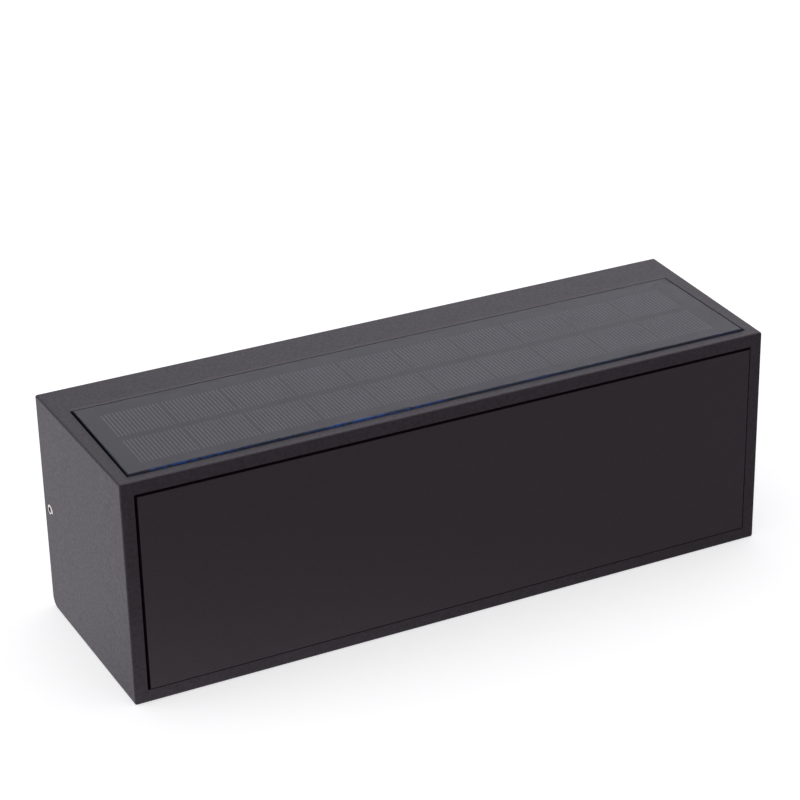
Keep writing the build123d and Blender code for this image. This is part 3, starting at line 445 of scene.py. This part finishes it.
streaks = add(tree, "TexNoise", {"Scale": 1 / (STREAK_MM * MM), "Detail": 3.0, "Roughness": 0.65},
              {"Vector": place})
mottled = add(tree, "MapRange", {"From Min": 0.38, "From Max": 0.62}, {"Value": streaks})
# a wave is brightest half of its length along, so its phase puts that place where the edge is brightest
stretches = add(tree, "TexWave", {"bands_direction": "X", "Scale": WAVE / (STRETCH_MM * MM),
                                  "Phase Offset": math.pi * (1 - 2 * BRIGHT_AT_MM / STRETCH_MM),
                                  "Distortion": 0.8, "Detail Scale": 12.0}, {"Vector": place})
along_front = add(tree, "MapRange", {"From Min": 0.15, "From Max": 0.6, "To Min": 0.2, "To Max": 1.0},
                  {"Value": stretches})
spot = add(tree, "SeparateXYZ", {}, {0: place})
fade = add(tree, "MapRange",
           {"From Min": FADE_FROM_MM * MM, "From Max": FADE_TO_MM * MM, "To Min": 1.0, "To Max": 0.12},
           {"Value": spot.outputs["X"]})
on_front = add(tree, "Math", {"operation": "LESS_THAN", 1: FRONT_Y_MM * MM}, {0: spot.outputs["Y"]})
past_corner = add(tree, "MapRange", {"From Min": BLUE_FROM_MM * MM, "From Max": BLUE_FULL_MM * MM},
                  {"Value": spot.outputs["X"]})
front_blue = add(tree, "Math", {"operation": "MULTIPLY"}, {0: on_front, 1: past_corner})
from_patch = add(tree, "Math", {"operation": "ADD", 1: -PATCH_Y_MM * MM}, {0: spot.outputs["Y"]})
off_patch = add(tree, "Math", {"operation": "ABSOLUTE"}, {0: from_patch})
on_left = add(tree, "MapRange", {"From Min": PATCH_FULL_MM * MM, "From Max": PATCH_END_MM * MM,
                                 "To Min": 0.35, "To Max": 0.03}, {"Value": off_patch})
blue = add(tree, "Math", {"operation": "MAXIMUM"}, {0: front_blue, 1: on_left})
for thinner in (along_front, fade, mottled):
    blue = add(tree, "Math", {"operation": "MULTIPLY"}, {0: blue, 1: thinner})
colour = add(tree, "Mix", {"data_type": "RGBA", COLOUR_A: linear("10121c"), COLOUR_B: linear("1b3a7a")},
             {0: blue})
# painted glow: the front edge emits a faint grey-blue light, standing in for light the gap keeps from it
painted_glow = add(tree, "Mix", {"data_type": "RGBA", COLOUR_A: linear("1f2229"), COLOUR_B: linear("17305e")},
           {0: blue})
cut = add(tree, "BsdfPrincipled", {"Roughness": 0.22, "IOR": 1.52},
          {"Base Color": colour.outputs[COLOUR_OUT], "Emission Color": painted_glow.outputs[COLOUR_OUT],
           "Emission Strength": on_front})
clear = add(tree, "BsdfTransparent", {})
tinted = add(tree, "MixShader", {}, {0: edge, 1: clear, 2: cut})
add(tree, "OutputMaterial", {}, {"Surface": tinted})
dress("encapsulant", resin)

# %% [markdown]
# ## Silver lines on the cells
# Each cell carries sixteen fired silver lines that collect its current. On the real one they are about a
# tenth of a millimetre wide, and so they are here: thin bars that lie on the silicon, inside the resin.
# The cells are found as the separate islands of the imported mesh, so each bar sits on a real cell.

# %% Find the cells
def islands(solid):
    """The low and high corners of each separate piece of a mesh, once its split corners are welded."""
    mesh = bmesh.new()
    mesh.from_mesh(solid.data)
    bmesh.ops.remove_doubles(mesh, verts=mesh.verts, dist=0.001 * MM)
    left, found = set(mesh.verts), []
    while left:
        front, group = [left.pop()], []
        while front:
            vert = front.pop()
            group.append(vert.co.copy())
            near = {e.other_vert(vert) for e in vert.link_edges} & left
            left -= near
            front += near
        found.append([Vector(pick(c[i] for c in group) for i in range(3)) for pick in (min, max)])
    mesh.free()
    return sorted(found, key=lambda box: (round(box[0].y, 4), box[0].x))


cells = islands(frame["nodes"]["solar_cells"])
print(len(cells), "cells, mm:", [round(v / MM, 2) for v in cells[0][1] - cells[0][0]])

# %% Lay the silver lines
def mesh_piece(name, verts, faces, material, body, smooth_deg=None):
    """A named piece of the object from points and faces, riding on one body."""
    mesh = bpy.data.meshes.new(name)
    mesh.from_pydata(verts, [], faces)
    tidy = bmesh.new()
    tidy.from_mesh(mesh)
    bmesh.ops.recalc_face_normals(tidy, faces=tidy.faces)
    tidy.to_mesh(mesh)
    tidy.free()
    if smooth_deg:
        mesh.shade_smooth()
        mesh.set_sharp_from_angle(angle=math.radians(smooth_deg))
    mesh.materials.append(material)
    piece = bpy.data.objects.new(name, mesh)
    bpy.context.collection.objects.link(piece)
    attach(piece, body)
    print(f"{name}: {len(verts)} points, {len(faces)} faces, on {body}")
    return piece


LINES_PER_CELL = 16
LINE_PITCH = 1.415 * MM
LINE_WIDTH = 0.14 * MM
LINE_HEIGHT = 0.03 * MM
LINE_LENGTH = 18.7 * MM
BOX_FACES = [(0, 1, 3, 2), (4, 6, 7, 5), (0, 4, 5, 1), (2, 3, 7, 6), (0, 2, 6, 4), (1, 5, 7, 3)]

verts, faces = [], []
for low, high in cells:
    middle = (low + high) / 2
    for line in range(LINES_PER_CELL):
        x = middle.x + (line - (LINES_PER_CELL - 1) / 2) * LINE_PITCH
        first = len(verts)
        verts += [(x + i * LINE_WIDTH / 2, middle.y + j * LINE_LENGTH / 2, high.z + k * LINE_HEIGHT)
                  for i in (-1, 1) for j in (-1, 1) for k in (0, 1)]
        faces += [[first + corner for corner in face] for face in BOX_FACES]
mesh_piece("silver_lines", verts, faces, silver, "light")

# %% [markdown]
# ## Filler and resin
# Black filler lies between the cells, level with them, so nothing but the lines shows where one cell ends.
# It is laid out as a grid of oblongs: those that hold a cell stay open, and walls stand where a filled
# oblong meets an open one. Clear resin covers it all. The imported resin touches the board, the cells and
# the film, and a ray can't tell two faces apart that lie in one place. So a sheet with a lip round its
# edge stands for it, and a hundredth of a millimetre of air parts it from its neighbours.

# %% Lay the filler
panel_low, panel_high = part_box("solar_encapsulant")
AIR = 0.01 * MM
LIP = 0.4 * MM
inside_lip = LIP + AIR
marks = [sorted({round(box[end][axis], 7) for box in cells for end in (0, 1)}) for axis in (0, 1)]
lines_x = [panel_low.x + inside_lip, *marks[0], panel_high.x - inside_lip]
lines_y = [panel_low.y + inside_lip, *marks[1], panel_high.y - inside_lip]
wide, deep = len(lines_x) - 1, len(lines_y) - 1
filled = {(i, j) for i in range(wide) for j in range(deep) if i % 2 == 0 or j % 2 == 0}
verts = [(x, y, z) for z in (panel_low.z + AIR, cells[0][1].z) for y in lines_y for x in lines_x]
row, layer = wide + 1, (wide + 1) * (deep + 1)
faces = []
for i, j in sorted(filled):
    corners = [j * row + i, j * row + i + 1, (j + 1) * row + i + 1, (j + 1) * row + i]
    faces += [corners, [layer + c for c in corners]]
    for k, (di, dj) in enumerate(((0, -1), (1, 0), (0, 1), (-1, 0))):
        if (i + di, j + dj) not in filled:
            a, b = corners[k], corners[(k + 1) % 4]
            faces.append([a, b, layer + b, layer + a])
mesh_piece("cell_filler", verts, faces, filler, "light")

# %% Cast the resin sheet
hollow_z = cells[0][1].z + LINE_HEIGHT + 2 * AIR
sheet_top, sheet_foot = panel_high.z - AIR, panel_low.z + AIR
verts = []
for inset, z in ((0.0, sheet_top), (0.0, sheet_foot), (LIP, sheet_foot), (LIP, hollow_z)):
    low_x, high_x = panel_low.x + inset, panel_high.x - inset
    low_y, high_y = panel_low.y + inset, panel_high.y - inset
    verts += [(low_x, low_y, z), (high_x, low_y, z), (high_x, high_y, z), (low_x, high_y, z)]
faces = [(r + k, r + (k + 1) % 4, r + 4 + (k + 1) % 4, r + 4 + k) for r in (0, 4, 8) for k in range(4)]
faces += [(0, 1, 2, 3), (12, 13, 14, 15)]
resin_sheet = mesh_piece("resin_sheet", verts, faces, resin, "light")
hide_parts("solar_encapsulant")

# %% [markdown]
# ## The resin that squeezed out
# When the panel was pressed, a little resin crept out of its edge and set there, uneven and glossy. A
# bead runs along the left and front edges, over resin and board, and seeded noise makes it thick and
# thin. It stays well inside the narrow gap between the panel and the housing.

# %% A bead along the panel's edges
BEAD_STEP = 0.7 * MM
BEAD_ROUND = 12
BEAD_OUT, BEAD_TALL, BEAD_DOWN = 0.34 * MM, 0.56 * MM, 0.50 * MM
FIRST_SWELL, LEAST_SWELL, SWELL_STEP = 0.5, 0.2, 0.09
TALL_SWELL = 0.4  # how much of the bead's height goes with its swell
bead_z = panel_high.z - BEAD_DOWN
chance = random.Random(7)
corners = [Vector((panel_low.x, panel_high.y)), Vector((panel_low.x, panel_low.y)),
           Vector((panel_high.x, panel_low.y))]
path = []
for start, end in zip(corners, corners[1:]):
    steps = max(2, round((end - start).length / BEAD_STEP))
    along = (end - start).normalized()
    outward = Vector((along.y, -along.x))
    path += [(start.lerp(end, (i + 0.5) / steps), outward) for i in range(steps)]
swell = FIRST_SWELL
verts, faces = [], []
for point, outward in path:
    swell = min(1.0, max(LEAST_SWELL, swell + chance.uniform(-SWELL_STEP, SWELL_STEP)))
    tall = BEAD_TALL * (1 - TALL_SWELL + TALL_SWELL * swell)
    for k in range(BEAD_ROUND):
        turn = 2 * math.pi * k / BEAD_ROUND
        reach = BEAD_OUT * swell * math.cos(turn)
        verts.append((*(point + outward * reach), bead_z + tall * math.sin(turn)))
last = (len(path) - 1) * BEAD_ROUND
for a in range(0, last, BEAD_ROUND):
    b = a + BEAD_ROUND
    faces += [(a + k, a + (k + 1) % BEAD_ROUND, b + (k + 1) % BEAD_ROUND, b + k) for k in range(BEAD_ROUND)]
faces += [tuple(range(BEAD_ROUND)), tuple(range(last, last + BEAD_ROUND))]
mesh_piece("resin_bead", verts, faces, resin, "light", smooth_deg=50)

# %% [markdown]
# ## Grub screws with a real thread
# The two screws that hold the light on its bracket are M4 with a hexagon socket and a dog point. The
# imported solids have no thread, so each is replaced by a turned shape: rings of points from the floor of
# the socket, out over the end, along the thread and down to the point. The thread is one ring after
# another whose radius depends on the turn, which winds a true right-handed helix.

# %% Turn the grub screws
# stainless steel, cold headed and polished in a drum: brighter than the turned screws inside the light
bright_steel = plain_finish("polished_stainless_steel", "e6dfd8", "f4f0ea", 0.4, 0.002, 0.20, 0.05,
                            metallic=1.0)
# the socket's faces get a dark copy of the steel: painted shade, standing in for the shade deep in the
# socket
socket_shade_steel = plain_finish("stainless_steel_painted_socket_shade", "1c1512", "2e2420", 0.3, 0.004, 0.45, 0.08,
                           metallic=1.0)
AROUND = 48
PITCH = 0.7 * MM
CREST, ROOT = 1.97 * MM, 1.58 * MM
SOCKET_ACROSS, SOCKET_DEEP = 2.0 * MM, 1.8 * MM
MOUTH_WIDER, MOUTH_DEEP = 0.4 * MM, 0.2 * MM
SOCKET_CONE = 0.5 * MM
DOG_RADIUS, DOG_LENGTH, DOG_CHAMFER = 1.25 * MM, 2.8 * MM, 0.2 * MM
DOG_STEP = 0.1 * MM
END_CHAMFER = 0.12 * MM
STEPS_PER_PITCH = 12


def thread_radius(share):
    """The radius at a share of one pitch: crest, an eighth of it, flank, root, a quarter, and flank."""
    for start, end, r0, r1 in ((0, 0.125, CREST, CREST), (0.125, 0.4375, CREST, ROOT),
                               (0.4375, 0.6875, ROOT, ROOT), (0.6875, 1.0, ROOT, CREST)):
        if share <= end:
            return r0 + (r1 - r0) * (share - start) / (end - start)


def hexagon(share, across):
    """How far a hexagon's side is from its middle, at a share of a full turn."""
    turn = (share * 6) % 1.0 - 0.5
    return across / 2 / math.cos(turn * math.pi / 3)


def grub_screw(name, body):
    """A threaded screw on the place of its packed rod, its socket facing away from the light."""
    low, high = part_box(name)
    outer, inner = (low.x, high.x) if low.x < 0 else (high.x, low.x)
    inward = 1 if inner > outer else -1
    y, z = (low.y + high.y) / 2, (low.z + high.z) / 2
    length = abs(inner - outer)
    shank = length - DOG_LENGTH
    shares = [k / AROUND for k in range(AROUND)]
    rings = [(SOCKET_DEEP, [hexagon(s, SOCKET_ACROSS) for s in shares]),
             (MOUTH_DEEP, [hexagon(s, SOCKET_ACROSS) for s in shares]),
             (0.0, [hexagon(s, SOCKET_ACROSS + MOUTH_WIDER) for s in shares])]
    count = math.ceil(shank / PITCH * STEPS_PER_PITCH)
    for i in range(count + 1):
        depth = shank * i / count
        cap = min(CREST - END_CHAMFER + depth, DOG_RADIUS + DOG_STEP + (shank - depth))
        rings.append((depth, [min(cap, thread_radius((depth / PITCH - s) % 1.0)) for s in shares]))
    rings += [(shank, [DOG_RADIUS] * AROUND), (length - DOG_CHAMFER, [DOG_RADIUS] * AROUND),
              (length, [DOG_RADIUS - DOG_CHAMFER] * AROUND)]
    verts = [(outer + inward * depth, y + r * math.cos(2 * math.pi * s),
              z + inward * r * math.sin(2 * math.pi * s))
             for depth, radii in rings for s, r in zip(shares, radii)]
    last = (len(rings) - 1) * AROUND
    faces = [(i + k, i + (k + 1) % AROUND, i + AROUND + (k + 1) % AROUND, i + AROUND + k)
             for i in range(0, last, AROUND) for k in range(AROUND)]
    verts += [(outer + inward * (SOCKET_DEEP + SOCKET_CONE), y, z), (inner, y, z)]
    faces += [(len(verts) - 2, (k + 1) % AROUND, k) for k in range(AROUND)]
    faces += [(len(verts) - 1, last + k, last + (k + 1) % AROUND) for k in range(AROUND)]
    piece = mesh_piece(name + "_threaded", verts, faces, bright_steel, body, smooth_deg=32)
    piece.data.materials.append(socket_shade_steel)
    # the first two bands of faces are the socket's walls and mouth, and its floor follows the last band:
    # these take the painted socket shade
    for k in (*range(2 * AROUND), *range(last, last + AROUND)):
        piece.data.polygons[k].material_index = 1
    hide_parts(name)


grub_screw("left_grub_screw", "left_grub")
grub_screw("right_grub_screw", "right_grub")

# %% [markdown]
# ## A ring moulded on the button
# A finger finds the power button by a low ring moulded on its cap. The ring's section is a flat-topped
# hump, turned once round the button's axis, and it hangs below the cap without leaving its recess.

# %% Mould the ring
cap_low, cap_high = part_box("power_button")
centre = (cap_low + cap_high) / 2
TURN_STEPS = 64
RING_RADIUS, RING_HALF, RING_TALL = 2.9 * MM, 0.45 * MM, 0.18 * MM
RING_SUNK, RING_LIP = 0.05 * MM, 0.02 * MM
RING_FLAT = 0.55 * RING_HALF
section = [(-RING_HALF, RING_SUNK), (-RING_HALF, -RING_LIP), (-RING_FLAT, -RING_TALL),
           (RING_FLAT, -RING_TALL), (RING_HALF, -RING_LIP), (RING_HALF, RING_SUNK)]
verts = [(centre.x + (RING_RADIUS + dr) * math.cos(2 * math.pi * k / TURN_STEPS),
          centre.y + (RING_RADIUS + dr) * math.sin(2 * math.pi * k / TURN_STEPS), cap_low.z + dz)
         for k in range(TURN_STEPS) for dr, dz in section]
points = len(section)
faces = []
for k in range(TURN_STEPS):
    a, b = k * points, (k + 1) % TURN_STEPS * points
    faces += [(a + j, a + (j + 1) % points, b + (j + 1) % points, b + j) for j in range(points)]
mesh_piece("button_ring", verts, faces, plain_pieces["button_plastic"], "button",
           smooth_deg=40)

# %% [markdown]
# ## Floor, backdrop and lamps
# The light stands on a plain pale floor in a white studio. Black paint shows what it mirrors, so the
# room matters more than the lamps: white behind and beside the light, darker towards the open front,
# where the photographer stands. Floor and world are white to the camera, and mirrors see them too,
# while diffuse light stays at a plain level. The floor keeps the soft shadow.

# %% The floor
TO_BACK_LEFT = (-0.43, 0.90, 0.0)
TABLE_GRAIN_MM = 2.0
CAMERA_LIFT = 0.55
floor_material, tree, place = begin("matt_white_table_top")
ray = add(tree, "LightPath", {})
towards_back = add(tree, "VectorMath", {"operation": "DOT_PRODUCT", 1: TO_BACK_LEFT}, {0: place})
sweep = add(tree, "MapRange", {"interpolation_type": "SMOOTHSTEP", "From Min": -0.15, "From Max": 0.08,
                               "To Min": 0.345, "To Max": 1.13}, {"Value": towards_back.outputs["Value"]})
grain = add(tree, "TexNoise", {"Scale": 1 / (TABLE_GRAIN_MM * MM), "Detail": 2.0}, {"Vector": place})
colour = add(tree, "Mix", {"data_type": "RGBA", COLOUR_A: linear("e6e6e6"), COLOUR_B: linear("ebebeb")},
             {0: grain})
matt = add(tree, "BsdfDiffuse", {}, {"Color": colour.outputs[COLOUR_OUT]})
mirror_view = add(tree, "Emission", {"Color": linear("f9f7ff")}, {"Strength": sweep})
lift = add(tree, "Emission", {"Color": (1, 1, 1, 1), "Strength": CAMERA_LIFT})
lifted = add(tree, "AddShader", {}, {0: matt, 1: lift})
to_camera = add(tree, "MixShader", {}, {0: ray.outputs["Is Camera Ray"], 1: matt, 2: lifted})
reflected = add(tree, "Math", {"operation": "MAXIMUM"},
                {0: ray.outputs["Is Glossy Ray"], 1: ray.outputs["Is Transmission Ray"]})
seen = add(tree, "MixShader", {}, {0: reflected, 1: to_camera, 2: mirror_view})
add(tree, "OutputMaterial", {}, {"Surface": seen})

FLOOR_HALF = 3.0
floor_z = cad_low.z
floor_corners = [(x * FLOOR_HALF, y * FLOOR_HALF, floor_z)
                 for x, y in ((-1, -1), (1, -1), (1, 1), (-1, 1))]
floor_mesh = bpy.data.meshes.new("floor")
floor_mesh.from_pydata(floor_corners, [], [(0, 1, 2, 3)])
floor_mesh.materials.append(floor_material)
floor = bpy.data.objects.new("floor", floor_mesh)
bpy.context.collection.objects.link(floor)
floor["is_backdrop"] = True
print("floor at, mm:", round(floor_z / MM, 2))

# %% The world
world = bpy.data.worlds.new("white_studio")
bpy.context.scene.world = world
world.use_nodes = True
tree = world.node_tree
tree.nodes.clear()
ray = add(tree, "LightPath", {})
direction = add(tree, "SeparateXYZ", {}, {0: add(tree, "TexCoord", {}).outputs["Generated"]})
open_front = add(tree, "MapRange", {"interpolation_type": "SMOOTHSTEP", "From Min": -0.7, "From Max": 0.3,
                                    "To Min": 0.30, "To Max": 1.0}, {"Value": direction.outputs["Y"]})
backdrop = add(tree, "Background", {"Color": (1, 1, 1, 1), "Strength": 1.0})
to_right = add(tree, "MapRange", {"interpolation_type": "SMOOTHSTEP", "From Min": 0.05, "From Max": 0.45,
                                  "To Min": 0.64, "To Max": 1.12}, {"Value": direction.outputs["X"]})
strength = add(tree, "Math", {"operation": "MULTIPLY"}, {0: open_front, 1: to_right})
mirrored = add(tree, "Background", {"Color": linear("f6f6ff")}, {"Strength": strength})
lighting = add(tree, "Background", {"Color": linear("fbfaff"), "Strength": 0.5})
reflected = add(tree, "Math", {"operation": "MAXIMUM"},
                {0: ray.outputs["Is Glossy Ray"], 1: ray.outputs["Is Transmission Ray"]})
unseen = add(tree, "MixShader", {}, {0: reflected, 1: lighting, 2: mirrored})
room = add(tree, "MixShader", {}, {0: ray.outputs["Is Camera Ray"], 1: unseen, 2: backdrop})
add(tree, "OutputWorld", {}, {"Surface": room})

# %% Soft lamps
def softbox(name, place, size, watts):
    """A square area lamp that faces the light's middle."""
    lamp = bpy.data.lights.new(name, "AREA")
    lamp.size, lamp.energy = size, watts
    made = bpy.data.objects.new(name, lamp)
    made.location = place
    made.rotation_mode = "QUATERNION"
    made.rotation_quaternion = (Vector(place) - TARGET).to_track_quat("Z", "Y")
    bpy.context.collection.objects.link(made)
    print(f"{name}: {size} m, {watts} W")


softbox("overhead_softbox", place=(0.1, 0.1, 1.3), size=1.2, watts=4.0)
softbox("left_softbox", place=(-1.2, 0.4, 0.7), size=0.8, watts=2.0)

# %% [markdown]
# ## Sizes and the end
# The view is left plain, so that colours come out as written. The dressed light must fill the same box as
# its solids, so both boxes are printed.

# %% Close the scene
bpy.context.scene.view_settings.view_transform = "Standard"
low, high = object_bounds()
print("box of the dressed light, mm:", [round(v / MM, 2) for v in (*low, *high)])
